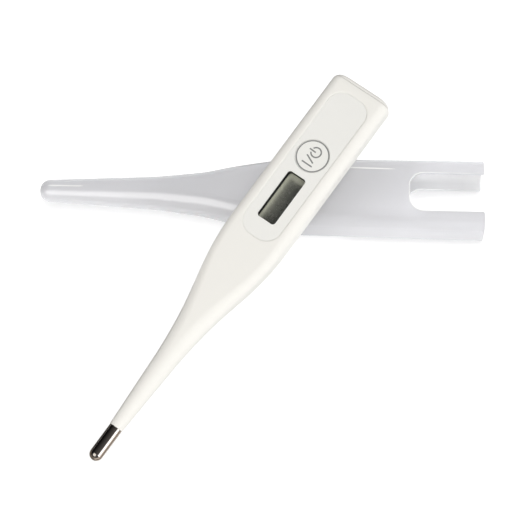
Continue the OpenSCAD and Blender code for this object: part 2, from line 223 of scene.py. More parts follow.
def lofted(name, rings, closed=False, cap_first=False, cap_last=False):
    n = len(rings[0])
    pts = [p for r in rings for p in r]
    faces = []
    m = len(rings)
    for i in range(m if closed else m - 1):
        i2 = (i + 1) % m
        for j in range(n):
            k = (j + 1) % n
            faces.append((i * n + j, i * n + k, i2 * n + k, i2 * n + j))
    if cap_first:
        faces.append(tuple(range(n - 1, -1, -1)))
    if cap_last:
        faces.append(tuple((m - 1) * n + j for j in range(n)))
    return mesh_of(name, pts, faces)


def prism(name, levels):
    """Closed stack of same-count outlines [(z, [(x, y), ...]), ...]."""
    return lofted(name, [[(x, y, z) for x, y in line] for z, line in levels], cap_first=True, cap_last=True)


def lathe(name, profile, count=96):
    """Closed profile [(s, r), ...] turned about the x axis."""
    rings = [[(s, r * cos(2 * pi * i / count), r * sin(2 * pi * i / count)) for i in range(count)] for s, r in profile]
    return lofted(name, rings, closed=True)


def carve(mesh, tools):
    """mesh less each tool mesh; tools are used up."""
    ob = bpy.data.objects.new("work", mesh)
    scene.collection.objects.link(ob)
    used = []
    for t in tools:
        o = bpy.data.objects.new("tool", t)
        scene.collection.objects.link(o)
        m = ob.modifiers.new("cut", "BOOLEAN")
        m.operation, m.solver, m.object = "DIFFERENCE", "EXACT", o
        used.append(o)
    dg = bpy.context.evaluated_depsgraph_get()
    out = bpy.data.meshes.new_from_object(ob.evaluated_get(dg))
    for o in [ob] + used:
        me = o.data
        bpy.data.objects.remove(o)
        bpy.data.meshes.remove(me)
    return out


def soften(mesh, sharp):
    """Smooth faces, with edges sharper than the given angle kept crisp."""
    bm = bmesh.new()
    bm.from_mesh(mesh)
    for f in bm.faces:
        f.smooth = True
    for e in bm.edges:
        e.smooth = not (len(e.link_faces) == 2 and e.calc_face_angle(0.0) > radians(sharp))
    bm.to_mesh(mesh)
    bm.free()


def piece(name, mesh, matrix, body, material, stands_for=(), sharp=24, weighted=True):
    mesh.transform(matrix)
    soften(mesh, sharp)
    mesh.materials.clear()
    mesh.materials.append(material)
    ob = bpy.data.objects.new(name, mesh)
    scene.collection.objects.link(ob)
    if weighted:
        m = ob.modifiers.new("even_normals", "WEIGHTED_NORMAL")
        m.keep_sharp = True
    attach(ob, body)
    if stands_for:
        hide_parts(*stands_for)
    return ob


def arc(x, y, r, q1, q2, n=24):
    return [(x + r * cos(radians(mix(q1, q2, i / n))), y + r * sin(radians(mix(q1, q2, i / n)))) for i in range(n + 1)]


def label_line(g):
    r1, r2 = 4.9, 4.6
    return (
        arc(LABEL_S2 - r2, LABEL_W2 - r2, r2 + g, 0, 90)
        + arc(LABEL_S1 + r1, LABEL_W1 - r1, r1 + g, 90, 180)
        + arc(LABEL_S1 + r1, -LABEL_W1 + r1, r1 + g, 180, 270)
        + arc(LABEL_S2 - r2, -LABEL_W2 + r2, r2 + g, 270, 360)
    )


def rect_line(x1, x2, w, r, g=0.0, n=12):
    x1, x2, w, r = x1 - g, x2 + g, w + g, r + g
    return (
        arc(x2 - r, w - r, r, 0, 90, n)
        + arc(x1 + r, w - r, r, 90, 180, n)
        + arc(x1 + r, -w + r, r, 180, 270, n)
        + arc(x2 - r, -w + r, r, 270, 360, n)
    )


def circle_line(x, y, r, n=96):
    return [(x + r * cos(2 * pi * i / n), y + r * sin(2 * pi * i / n)) for i in range(n)]


# ---------------------------------------------------------------- materials
def shader(name):
    m = bpy.data.materials.new(name)
    m.use_nodes = True
    t = m.node_tree
    t.nodes.clear()
    out = t.nodes.new("ShaderNodeOutputMaterial")
    b = t.nodes.new("ShaderNodeBsdfPrincipled")
    t.links.new(b.outputs[0], out.inputs[0])
    return m, t, b


def noise(t, coord, scale, detail=3.0, rough=0.55, stretch=None):
    n = t.nodes.new("ShaderNodeTexNoise")
    n.inputs["Scale"].default_value = scale
    n.inputs["Detail"].default_value = detail
    n.inputs["Roughness"].default_value = rough
    if stretch:
        mp = t.nodes.new("ShaderNodeMapping")
        mp.inputs["Rotation"].default_value = stretch[0]
        mp.inputs["Scale"].default_value = stretch[1]
        t.links.new(coord, mp.inputs["Vector"])
        coord = mp.outputs[0]
    t.links.new(coord, n.inputs["Vector"])
    return n.outputs["Fac"]


def spanned(t, value, lo, hi, a=0.3, b=0.7):
    m = t.nodes.new("ShaderNodeMapRange")
    m.inputs["From Min"].default_value = a
    m.inputs["From Max"].default_value = b
    m.inputs["To Min"].default_value = lo
    m.inputs["To Max"].default_value = hi
    t.links.new(value, m.inputs["Value"])
    return m.outputs[0]


def finish_of(name, colour, second, rough, tint=120.0, rough_scale=500.0, grain=0.04, grain_scale=2600.0, stretch=None, **direct):
    """Procedural finish: two close colours, uneven roughness and a fine moulded grain."""
    m, t, b = shader(name)
    coord = t.nodes.new("ShaderNodeTexCoord").outputs["Object"]
    mx = t.nodes.new("ShaderNodeMix")
    mx.data_type = "RGBA"
    mx.inputs["A"].default_value = (*colour, 1)
    mx.inputs["B"].default_value = (*second, 1)
    t.links.new(spanned(t, noise(t, coord, tint), 0, 1), mx.inputs["Factor"])
    t.links.new(mx.outputs["Result"], b.inputs["Base Color"])
    t.links.new(spanned(t, noise(t, coord, rough_scale, stretch=stretch), *rough), b.inputs["Roughness"])
    bp = t.nodes.new("ShaderNodeBump")
    bp.inputs["Strength"].default_value = grain
    bp.inputs["Distance"].default_value = 0.00001
    t.links.new(noise(t, coord, grain_scale, 2.0, stretch=stretch), bp.inputs["Height"])
    t.links.new(bp.outputs[0], b.inputs["Normal"])
    for k, v in direct.items():
        b.inputs[k.replace("_", " ")].default_value = v
    return m


M = {}
M["white_plastic"] = finish_of("white_plastic", (0.892, 0.878, 0.834), (0.895, 0.881, 0.837), (0.335, 0.355), tint=90, grain=0.006)
M["label_film"] = finish_of("label_film", (0.87, 0.865, 0.83), (0.88, 0.876, 0.842), (0.36, 0.46), tint=160, grain=0.06, grain_scale=4200)
M["ink"] = finish_of("ink", (0.225, 0.23, 0.225), (0.25, 0.255, 0.25), (0.42, 0.52), tint=900, grain=0.05)
M["key_plastic"] = finish_of("key_plastic", (0.74, 0.735, 0.71), (0.77, 0.765, 0.74), (0.35, 0.45), grain=0.05)
M["black_plastic"] = finish_of("black_plastic", (0.012, 0.012, 0.012), (0.02, 0.02, 0.019), (0.34, 0.46), grain=0.08)
M["frame_plastic"] = finish_of("frame_plastic", (0.72, 0.72, 0.69), (0.76, 0.76, 0.73), (0.4, 0.52), grain=0.08)
M["probe_steel"] = finish_of("probe_steel", (0.52, 0.485, 0.455), (0.56, 0.525, 0.495), (0.06, 0.11), tint=400, rough_scale=900, grain=0.012, grain_scale=5200, Metallic=1.0)
M["spring_steel"] = finish_of("spring_steel", (0.62, 0.61, 0.59), (0.68, 0.67, 0.65), (0.22, 0.36), grain=0.04, Metallic=1.0)
M["cell_steel"] = finish_of("cell_steel", (0.66, 0.655, 0.64), (0.72, 0.715, 0.70), (0.18, 0.3), grain=0.03, Metallic=1.0)
M["brass"] = finish_of("brass", (0.72, 0.50, 0.20), (0.78, 0.57, 0.26), (0.25, 0.4), grain=0.05, Metallic=1.0)
M["ceramic"] = finish_of("ceramic", (0.78, 0.76, 0.68), (0.84, 0.82, 0.74), (0.5, 0.65), grain=0.1)
M["board"] = finish_of("board", (0.012, 0.12, 0.05), (0.02, 0.17, 0.075), (0.3, 0.42), tint=700, grain=0.1, grain_scale=1800)
M["chip_resin"] = finish_of("chip_resin", (0.012, 0.012, 0.014), (0.02, 0.02, 0.022), (0.25, 0.4), grain=0.1)
M["components"] = finish_of("components", (0.30, 0.22, 0.15), (0.42, 0.36, 0.28), (0.4, 0.6), tint=1400, grain=0.1)
M["elastomer"] = finish_of("elastomer", (0.62, 0.22, 0.27), (0.7, 0.3, 0.34), (0.55, 0.7), tint=2500, grain=0.1)
M["potting"] = finish_of("potting", (0.10, 0.09, 0.075), (0.13, 0.12, 0.1), (0.3, 0.45), grain=0.08)
M["bead"] = finish_of("bead", (0.02, 0.015, 0.012), (0.035, 0.025, 0.02), (0.2, 0.35), grain=0.08)
M["lead_wire"] = finish_of("lead_wire", (0.60, 0.24, 0.12), (0.66, 0.3, 0.16), (0.25, 0.4), grain=0.04, Metallic=1.0)


def display_face_painted_light():
    """Polariser film over the cell, with painted light and shade: pale olive along the left edge and the rear end,
    dark grey towards the near right corner.
    """
    m, t, b = shader("lcd_film")
    coord = t.nodes.new("ShaderNodeTexCoord").outputs["Object"]

    def along(axis, start, span):
        """0 at start, 1 after span mm, measured along an axis of the thermometer."""
        d = t.nodes.new("ShaderNodeVectorMath")
        d.operation = "DOT_PRODUCT"
        d.inputs[1].default_value = axis
        t.links.new(coord, d.inputs[0])
        zero = TIP.dot(axis) * 0.001 + start * 0.001
        return spanned(t, d.outputs["Value"], 0.0, 1.0, zero, zero + span * 0.001)

    # painted light: pale along the left edge and the rear end of the film, dying away inwards to painted shade
    painted_light_ramps = []
    for v, stops in (
        (along(LEFT, 2.5, -4.0), ((0.075, 0.70), (0.15, 0.47), (0.225, 0.305), (0.30, 0.205), (0.375, 0.145), (0.45, 0.10), (0.60, 0.055), (0.75, 0.047))),
        (along(AX, 99.6, -5.0), ((0.16, 0.73), (0.32, 0.165), (0.48, 0.065), (0.62, 0.025))),
    ):
        r = t.nodes.new("ShaderNodeValToRGB")
        e = r.color_ramp.elements
        e[0].position, e[0].color = 0.0, (1, 1, 1, 1)
        e[1].position, e[1].color = 1.0, (0, 0, 0, 1)
        for p, g in stops:
            e.new(p).color = (g, g, g, 1)
        t.links.new(v, r.inputs["Fac"])
        painted_light_ramps.append(r.outputs["Color"])
    weaker = t.nodes.new("ShaderNodeMath")
    weaker.operation = "MULTIPLY"
    t.links.new(painted_light_ramps[1], weaker.inputs[0])
    t.links.new(spanned(t, along(LEFT, 2.5, -4.5), 1.0, 0.8, 0.0, 1.0), weaker.inputs[1])
    painted_light_ramps[1] = weaker.outputs[0]
    most = t.nodes.new("ShaderNodeMath")
    most.operation = "MULTIPLY_ADD"
    t.links.new(painted_light_ramps[1], most.inputs[0])
    t.links.new(spanned(t, painted_light_ramps[0], 1.0, 0.0, 0.0, 1.0), most.inputs[1])
    t.links.new(painted_light_ramps[0], most.inputs[2])
    grainy = t.nodes.new("ShaderNodeMath")
    grainy.operation = "MULTIPLY_ADD"
    t.links.new(spanned(t, noise(t, coord, 700, 2.0), -0.008, 0.008), grainy.inputs[0])
    grainy.inputs[1].default_value = 1.0
    t.links.new(most.outputs[0], grainy.inputs[2])
    # the film's colour runs from dark painted shade to pale olive painted light
    mx = t.nodes.new("ShaderNodeMix")
    mx.data_type = "RGBA"
    mx.inputs["A"].default_value = (0.060, 0.062, 0.053, 1)
    mx.inputs["B"].default_value = (0.61, 0.62, 0.495, 1)
    t.links.new(grainy.outputs[0], mx.inputs["Factor"])
    t.links.new(mx.outputs["Result"], b.inputs["Base Color"])
    t.links.new(spanned(t, noise(t, coord, 500), 0.22, 0.32), b.inputs["Roughness"])
    return m


M["lcd_film"] = display_face_painted_light()
M["lcd_glass"] = finish_of("lcd_glass", (0.34, 0.38, 0.33), (0.38, 0.42, 0.37), (0.1, 0.2), grain=0.02)
M["lcd_back"] = finish_of("lcd_back", (0.44, 0.45, 0.39), (0.5, 0.51, 0.45), (0.3, 0.45), grain=0.05)
M["clear_window"] = finish_of("clear_window", (0.30, 0.31, 0.29), (0.33, 0.34, 0.32), (0.05, 0.10), grain=0.005, Alpha=0.05, IOR=1.49)
M["case_plastic"] = finish_of("case_plastic", (0.832, 0.834, 0.862), (0.840, 0.842, 0.869), (0.46, 0.54), tint=60, rough_scale=300, grain=0.01, Transmission_Weight=0.38, IOR=1.45, Specular_IOR_Level=0.08, Coat_Weight=1.0, Coat_Roughness=0.03)


def paint_light_and_shade(m, stops, axis="X", within=None):
    """Paints light and shade: multiplies a finish's colour by a ramp along an axis, (metres, factor) pairs in rising
    order.
    The axis "body" runs along the thermometer from its tip. within holds four X stations between which the ramp comes
    in and goes out again."""
    t = m.node_tree
    b = next(n for n in t.nodes if n.type == "BSDF_PRINCIPLED")
    old = b.inputs["Base Color"].links[0].from_socket
    xyz = t.nodes.new("ShaderNodeSeparateXYZ")
    coord = t.nodes.new("ShaderNodeTexCoord").outputs["Object"]
    t.links.new(coord, xyz.inputs[0])
    if axis == "body":
        d = t.nodes.new("ShaderNodeVectorMath")
        d.operation = "DOT_PRODUCT"
        d.inputs[1].default_value = AX
        t.links.new(coord, d.inputs[0])
        place, zero = d.outputs["Value"], 0.001 * TIP.dot(AX)
    else:
        place, zero = xyz.outputs[axis], 0.0
    x0, x1 = stops[0][0], stops[-1][0]
    r = t.nodes.new("ShaderNodeValToRGB")
    e = r.color_ramp.elements
    for el, (_, g) in zip((e[0], e[1]), (stops[0], stops[-1])):
        el.color = (g, g, g, 1)
    for x, g in stops[1:-1]:
        e.new((x - x0) / (x1 - x0)).color = (g, g, g, 1)
    t.links.new(spanned(t, place, 0.0, 1.0, zero + x0, zero + x1), r.inputs["Fac"])
    mul = t.nodes.new("ShaderNodeMix")
    mul.data_type, mul.blend_type = "RGBA", "MULTIPLY"
    mul.inputs["Factor"].default_value = 1.0
    if within:
        both_ends = t.nodes.new("ShaderNodeMath")
        both_ends.operation = "MULTIPLY"
        t.links.new(spanned(t, xyz.outputs["X"], 0.0, 1.0, within[0], within[1]), both_ends.inputs[0])
        t.links.new(spanned(t, xyz.outputs["X"], 1.0, 0.0, within[2], within[3]), both_ends.inputs[1])
        t.links.new(both_ends.outputs[0], mul.inputs["Factor"])
    t.links.new(old, mul.inputs["A"])
    t.links.new(r.outputs["Color"], mul.inputs["B"])
    t.links.new(mul.outputs["Result"], b.inputs["Base Color"])


# painted shade: the end cap's colour is darkened round its rear edge
M["cap_plastic_painted_shade"] = finish_of("cap_plastic_painted_shade", (0.892, 0.878, 0.834), (0.895, 0.881, 0.837), (0.335, 0.355), tint=90, grain=0.006)
paint_light_and_shade(M["cap_plastic_painted_shade"], ((0.1316, 1.0), (0.13185, 0.95), (0.1321, 0.87), (0.13243, 0.87), (0.13247, 1.0)), "body")


def paint_light_inside(m):
    """Paints light on the inner faces of the fork's far arm: lifts their colour where light gets in through the slot.
    """
    t = m.node_tree
    b = next(n for n in t.nodes if n.type == "BSDF_PRINCIPLED")
    old = b.inputs["Base Color"].links[0].from_socket
    xyz = t.nodes.new("ShaderNodeSeparateXYZ")
    t.links.new(t.nodes.new("ShaderNodeTexCoord").outputs["Object"], xyz.inputs[0])
    spans = (("X", 0.0, 1.0, 0.0405, 0.0425), ("Y", 0.0, 1.0, 0.026, 0.029), ("Y", 1.0, 0.0, 0.0359, 0.0363), ("Z", 1.0, 0.0, 0.0060, 0.0112), ("Z", 0.0, 1.0, 0.0001, 0.0004))
    painted_light_mask = None
    for axis, lo, hi, a, c in spans:
        v = spanned(t, xyz.outputs[axis], lo, hi, a, c)
        if painted_light_mask is None:
            painted_light_mask = v
            continue
        n = t.nodes.new("ShaderNodeMath")
        n.operation = "MULTIPLY"
        t.links.new(painted_light_mask, n.inputs[0])
        t.links.new(v, n.inputs[1])
        painted_light_mask = n.outputs[0]
    mx = t.nodes.new("ShaderNodeMix")
    mx.data_type = "RGBA"
    t.links.new(painted_light_mask, mx.inputs["Factor"])
    t.links.new(old, mx.inputs["A"])
    mx.inputs["B"].default_value = (0.985, 0.988, 0.995, 1)
    t.links.new(mx.outputs["Result"], b.inputs["Base Color"])


# painted shade and light: the case's colour is darkest at the flare, where the thermometer shades it, a little darker
# at the tip and lightest at the fork
paint_light_and_shade(M["case_plastic"], ((-0.065, 0.955), (-0.042, 0.955), (-0.026, 0.895), (-0.012, 0.882), (0.018, 0.945), (0.030, 0.965), (0.039, 0.99), (0.055, 1.015)))
# painted light and shade in bands across the case, beside the body and along the fork's arms; the far side is darker
paint_light_and_shade(M["case_plastic"], ((0.0145, 1.03), (0.0165, 1.0), (0.0185, 1.05), (0.0205, 1.07), (0.0225, 1.04), (0.025, 0.995), (0.028, 0.955), (0.031, 0.925), (0.0345, 0.91)), "Y", (0.018, 0.033, 0.043, 0.050))
paint_light_and_shade(M["case_plastic"], ((0.0145, 0.98), (0.016, 1.015), (0.0175, 0.955), (0.0195, 0.89), (0.0225, 0.95), (0.031, 0.995), (0.036, 0.995)), "Y", (0.043, 0.050, 0.070, 0.080))
paint_light_inside(M["case_plastic"])
# near-white finishes for the raised beads on the case; their pale colour is a painted highlight
M["case_rim_painted_highlight"] = finish_of("case_rim_painted_highlight", (0.86, 0.86, 0.86), (0.88, 0.88, 0.88), (0.4, 0.5), tint=300, rough_scale=600, grain=0.01, IOR=1.45)
M["case_edge"] = finish_of("case_edge", (0.97, 0.97, 0.97), (0.98, 0.98, 0.98), (0.3, 0.4), tint=300, rough_scale=600, grain=0.01, IOR=1.45)

# ---------------------------------------------------------------- camera
cam_data = bpy.data.cameras.new("view")
cam_data.sensor_width = 36.0
cam_data.lens = 140.896
cam_data.clip_start, cam_data.clip_end = 0.01, 20.0
cam = bpy.data.objects.new("view", cam_data)
cam.location = (0.00654878, -0.23065119, 0.55058861)
cam.rotation_euler = (radians(23.41542), 0.0, radians(1.54844))
scene.collection.objects.link(cam)
scene.camera = cam

# ---------------------------------------------------------------- housing
neck = [STEEL_LEN + 0.1] + spread(12.5, 33.2, 1.4) + spread(34, 80.2, 0.6) + [84, 92, 100, 108, 116, 124, 129]
rear = [129.8] + [BODY_LEN - REAR_R + 0.2 * i for i in range(5)] + [131.2]
rings = [round_ring(STEEL_LEN - 4.0, 1.0), round_ring(STEEL_LEN - 4.0, 1.62), round_ring(STEEL_LEN - 3.9, 1.72)]
rings += [round_ring(STEEL_LEN, 1.72), round_ring(STEEL_LEN, NECK_R - 0.09)]
rings += [round_ring(STEEL_LEN + 0.026, NECK_R - 0.026)]
rings += [outer(s) for s in neck + rear]
rings += [outer(CAP_JOINT - 0.12), outer(CAP_JOINT - 0.08, 0.012), outer(CAP_JOINT - 0.05, 0.05)]
rings += [inner(CAP_JOINT - 0.05)]
rings += [inner(s) for s in reversed(spread(34, 80.2, 1.2) + [100, 124])]
rings += [inner(s) for s in (30, 20, 12)]
shell = lofted("housing_shell", rings, closed=True)
rim = [(LABEL_BOT, 0.03), (LABEL_TOP - 0.02, 0.03), (LABEL_TOP + 0.02, 0.06), (LABEL_TOP + 0.06, 0.15), (TOP_H - 0.035, 0.32), (TOP_H + 0.003, 0.45), (TOP_H + 1.0, 0.45)]
tools = [
    prism("pocket", [(z, label_line(g)) for z, g in rim]),
    prism("window", [(z, rect_line(WIN_S1, WIN_S2, WIN_W, WIN_R, 0.4)) for z in (2.0, 6.0)]),
    prism("well", [(z, circle_line(KEY_S, 0, FILM_R + 0.17)) for z in (LABEL_BOT - KEY_TRAVEL - 0.06, 6.0)]),
    prism("bore", [(z, circle_line(KEY_S, 0, KEY_R + 0.08)) for z in (2.0, 6.0)]),
]
shell = carve(shell, tools)
piece("housing_shell", shell, BODY, "thermometer", M["white_plastic"], ["housing"], sharp=14)

# ---------------------------------------------------------------- end cap
mid = (IN_TOP - IN_UNDER) / 2
hh = (IN_TOP + IN_UNDER) / 2


def spigot(s, cut, r):
    return ring(s, HALF - WALL - cut, mid + hh - cut, hh - cut - mid, r, r)


def plate(s):
    """The end cap's outline: it falls away less on top than the sides turn in, then rounds off."""
    k, k0 = inset(s), inset(CAP_JOINT + 0.1)
    drop = 0.6 * k0 + 0.25 * (k - k0) + 0.2 * max(0.0, (s - 132.22) / 0.26) ** 2
    return ring(s, HALF - k, TOP_H - drop, UNDER_H - 0.6 * k, EDGE_TOP, EDGE_UNDER)


rings = [spigot(CAP_JOINT + 0.04, 1.15, 1.7), spigot(CAP_JOINT - 6.3, 1.15, 1.7), spigot(CAP_JOINT - 6.4, 1.05, 1.8)]
rings += [spigot(CAP_JOINT - 6.4, 0.3, 2.55), spigot(CAP_JOINT - 6.25, 0.15, 2.7), spigot(CAP_JOINT + 0.04, 0.15, 2.7)]
rings += [outer(CAP_JOINT + 0.04, 0.05), outer(CAP_JOINT + 0.065, 0.012), outer(CAP_JOINT + 0.1)]
rings += [plate(s) for s in (131.6, 131.75, 131.9, 132.05, 132.18, 132.28, 132.36, 132.42, 132.46, 132.48)]
cap = lofted("end_cap", rings, cap_first=True, cap_last=True)
piece("end_cap", cap, BODY, "battery_cover", M["cap_plastic_painted_shade"], ["battery_cover"], sharp=24)

# ---------------------------------------------------------------- steel tip
R, T = STEEL_R, STEEL_WALL
profile = [(R - R * cos(q), R * sin(q)) for q in [radians(1.2)] + [radians(90 * i / 28) for i in range(1, 29)]]
profile += [(s, R) for s in (4, 6, 8, 10, STEEL_LEN - 0.09)]
profile += [(STEEL_LEN - 0.045, R - 0.012), (STEEL_LEN - 0.02, R - 0.05), (STEEL_LEN - 0.02, R - T)]
profile += [(R - (R - T) * cos(q), (R - T) * sin(q)) for q in [radians(90 * (14 - i) / 14) for i in range(14)] + [radians(1.2)]]
tip = lathe("steel_tip", profile, 128)
piece("steel_tip", tip, BODY, "thermometer", M["probe_steel"], ["probe_tip"], sharp=40, weighted=False)

# ---------------------------------------------------------------- storage case
us = [0.0006, 0.006, 0.03, 0.09, 0.2, 0.38, 0.62, 0.92, 1.3, 1.75, 2.25, 2.8, 3.4] + spread(5, 33, 2.0) + spread(34, 92, 0.8) + [98, 104, 108, 112, 118, 124, 129.5]
ui = [1.0006, 1.006, 1.03, 1.09, 1.2, 1.4, 1.7, 2.1, 2.6, 3.2, 4.2] + spread(5, 33, 2.0) + spread(34, 92, 0.8) + [98, 104, 108, 112, 118, 124, 129.5]
rings = [case_outer(u) for u in us]
rings += [case_outer(CASE_LEN - 0.2), case_outer(CASE_LEN - 0.09, 0.02), case_outer(CASE_LEN - 0.02, 0.09), case_outer(CASE_LEN, 0.2)]
rings += [case_inner(CASE_LEN, 0.2), case_inner(CASE_LEN - 0.02, 0.09), case_inner(CASE_LEN - 0.09, 0.02), case_inner(CASE_LEN - 0.2)]
rings += [case_inner(u) for u in reversed(ui)]
case = lofted("case_shell", rings, cap_first=True, cap_last=True)


def slot_line(g):
    """Outline of the finger slot, with rounded mouth corners."""
    x1, x2, w, r, m = CASE_LEN / 2 - SLOT_LEN - g, CASE_LEN / 2, SLOT_W / 2 + g, SLOT_R + g, 0.7
    half = arc(x1 + r, w - r, r, 180, 90, 20) + arc(x2 - m, w + m, m, 270, 360, 8) + [(x2 + 6, w + m)]
    return half + [(x, -y) for x, y in reversed(half)]


h = CASE_T / 2
levels = [(-h - 2, 0.16), (-h - 0.003, 0.16), (-h + 0.014, 0.11), (-h + 0.05, 0.05), (-h + 0.12, 0.0)]
levels += [(-h + CASE_WALL - 0.08, 0.0), (-h + CASE_WALL - 0.03, 0.02), (-h + CASE_WALL + 0.003, 0.09)]
levels = levels + [(-z, g) for z, g in reversed(levels)]
case = carve(case, [prism("slot", [(z, slot_line(g)) for z, g in levels])])
piece("case_shell", case, CASE, "storage_case", M["case_plastic"], ["storage_case"], sharp=20)


def bead(name, line, width, height, sunk=0.05):
    """Low rounded rib along points (x, y, z) of the case's frame."""
    rings = []
    n = len(line)
    for i, p in enumerate(line):
        a, b = line[max(0, i - 1)], line[min(n - 1, i + 1)]
        d = Vector((b[0] - a[0], b[1] - a[1], 0.0)).normalized()
        side = Vector((-d.y, d.x, 0.0))
        k = min(1.0, 0.25 + min(i, n - 1 - i) / 3.0)
        arch = [(cos(radians(180 * j / 8)), sin(radians(180 * j / 8))) for j in range(9)]
        rings.append([Vector(p) + side * (c * k * width / 2) + Vector((0, 0, q * k * height)) for c, q in arch]
                     + [Vector(p) + side * (c * k * width / 2) + Vector((0, 0, -sunk)) for c in (-1.0, 1.0)])
    return lofted(name, rings, cap_first=True, cap_last=True)


def tube_top(x, y):
    r = sleeve(x + CASE_LEN / 2)
    return (x, y, sqrt(r * r - y * y))


# two raised beads on the case, modelled as moulded lines and coloured near white as painted highlight lines
line = [tube_top(mix(-62.9, -52.5, i / 24), mix(0.27, 0.13, i / 24)) for i in range(25)]
piece("case_tip_line", bead("case_tip_line", line, 0.44, 0.07), CASE, "storage_case", M["case_edge"], sharp=50, weighted=False)
line = [(mix(14.0, 39.2, i / 24), mix(7.34, 7.06, i / 24), CASE_T / 2) for i in range(25)]
piece("case_side_line", bead("case_side_line", line, 0.44, 0.07), CASE, "storage_case", M["case_edge"], sharp=50, weighted=False)
# raised bead round the slot's mouth, coloured pale as a painted highlight along the cut edge
rim_line = [(x, y, CASE_T / 2) for x, y in slot_line(0.17) if x < CASE_LEN / 2 - 1.0]
rim_line = [(CASE_LEN / 2 - 1.2, SLOT_W / 2 + 0.17, CASE_T / 2)] + sorted([p for p in rim_line if p[1] > 0], key=lambda p: -p[0]) + sorted([p for p in rim_line if p[1] < 0], key=lambda p: p[0]) + [(CASE_LEN / 2 - 1.2, -SLOT_W / 2 - 0.17, CASE_T / 2)]
piece("case_slot_rim", bead("case_slot_rim", rim_line, 0.27, 0.06), CASE, "storage_case", M["case_rim_painted_highlight"], sharp=50, weighted=False)


# ---------------------------------------------------------------- printed ring and power mark
def stroke(points, width, n=10):
    """Flat capsule outline along a polyline, as (x, y) points."""
    left, right = [], []
    for i, p in enumerate(points):
        a = points[max(0, i - 1)]
        b = points[min(len(points) - 1, i + 1)]
        d = Vector((b[0] - a[0], b[1] - a[1])).normalized()
        o = Vector((-d.y, d.x)) * width / 2
        left.append((p[0] + o.x, p[1] + o.y))
        right.append((p[0] - o.x, p[1] - o.y))
    return left, right


def inked(name, strokes, width, z):
    """Thin raised print, one closed strip for each stroke."""
    pts, faces = [], []
    for line in strokes:
        left, right = stroke(line, width)
        n, k = len(line), len(pts)
        for zz in (z + 0.001, z + 0.012):
            pts += [(x, y, zz) for x, y in left] + [(x, y, zz) for x, y in right]
        for i in range(n - 1):
            lo, hi = k, k + 2 * n
            faces.append((lo + i, lo + i + 1, lo + n + i + 1, lo + n + i))
            faces.append((hi + i, hi + n + i, hi + n + i + 1, hi + i + 1))
            faces.append((lo + i, hi + i, hi + i + 1, lo + i + 1))
            faces.append((lo + n + i, lo + n + i + 1, hi + n + i + 1, hi + n + i))
        faces.append((k, k + n, k + 3 * n, k + 2 * n))
        faces.append((k + n - 1, k + 3 * n - 1, k + 4 * n - 1, k + 2 * n - 1))
    return mesh_of(name, pts, faces)


ring_line = [(KEY_S + 4.69 * cos(2 * pi * i / 144), -0.07 + 4.69 * sin(2 * pi * i / 144)) for i in range(145)]
piece("button_ring_print", inked("button_ring_print", [ring_line], 0.35, LABEL_TOP), BODY, "power_button", M["ink"], weighted=False)
cx, cy, cr = 108.42, -0.285, 1.5
mark = [
    [(104.2, 1.75), (104.15, -1.77)],
    [(106.54, 1.57), (105.2, -1.4)],
    [(108.46, 1.97), (108.36, -0.21)],
    [(cx + cr * cos(radians(90 + 24 + 312 * i / 60)), cy + cr * sin(radians(90 + 24 + 312 * i / 60))) for i in range(61)],
]
piece("button_mark_print", inked("button_mark_print", mark, 0.42, LABEL_TOP), BODY, "power_button", M["ink"], weighted=False)

# ---------------------------------------------------------------- carried-over nodes
FINISH = {
    "front_label": "label_film", "button_film": "label_film", "power_button": "key_plastic", "switch_dome": "spring_steel",
    "display_bezel": "black_plastic", "display_window": "clear_window", "lcd_polariser": "lcd_film", "lcd_panel": "lcd_glass",
    "lcd_reflector": "lcd_back", "zebra_connector": "elastomer", "inner_frame": "frame_plastic", "circuit_board": "board",
    "controller_chip": "chip_resin", "board_components": "components", "buzzer_plate": "brass", "buzzer_ceramic": "ceramic",
    "battery_cell": "cell_steel", "battery_contact_positive": "spring_steel", "battery_contact_negative": "spring_steel",
    "tip_potting": "potting", "thermistor_bead": "bead", "thermistor_leads": "lead_wire",
}
for name, key in FINISH.items():
    ob = nodes[name]
    ob.data.materials.clear()
    ob.data.materials.append(M[key])

# ---------------------------------------------------------------- floor and light
def mirrored(t, path):
    """1 for rays that a glossy surface reflects, 0 for those that pass through one."""
    n = t.nodes.new("ShaderNodeMath")
    n.operation, n.use_clamp = "SUBTRACT", True
    t.links.new(path.outputs["Is Glossy Ray"], n.inputs[0])
    t.links.new(path.outputs["Is Transmission Ray"], n.inputs[1])
    return n.outputs[0]


bpy.ops.mesh.primitive_plane_add(size=6.0, location=(0, 0, -0.0001))
floor = bpy.context.object
floor.name = "floor"
fm, ft, fb = shader("floor_white")
fb.inputs["Base Color"].default_value = (0.6, 0.6, 0.6, 1)
fb.inputs["Roughness"].default_value = 0.9
fb.inputs["Specular IOR Level"].default_value = 0.1
fb.inputs["Emission Color"].default_value = (1, 1, 1, 1)
fb.inputs["Emission Strength"].default_value = 0.55
fg = ft.nodes.new("ShaderNodeEmission")
fp = ft.nodes.new("ShaderNodeLightPath")
fx = ft.nodes.new("ShaderNodeMixShader")
where = ft.nodes.new("ShaderNodeSeparateXYZ")
here = ft.nodes.new("ShaderNodeNewGeometry").outputs["Position"]
ft.links.new(here, where.inputs[0])


def both(op, a, b):
    n = ft.nodes.new("ShaderNodeMath")
    n.operation = op
    ft.links.new(a, n.inputs[0])
    ft.links.new(b, n.inputs[1])
    return n.outputs[0]


# the ground that the steel tip and the white body mirror is dim; beside the case it stays white
near = spanned(ft, where.outputs["Y"], 1.0, 0.0, 0.0, 0.008)
far = spanned(ft, where.outputs["Y"], 0.0, 1.0, 0.040, 0.046)
west = spanned(ft, where.outputs["X"], 0.0, 1.0, -0.014, -0.008)
east = spanned(ft, where.outputs["X"], 1.0, 0.0, 0.026, 0.034)
dim = both("MAXIMUM", near, both("MULTIPLY", far, both("MULTIPLY", west, east)))


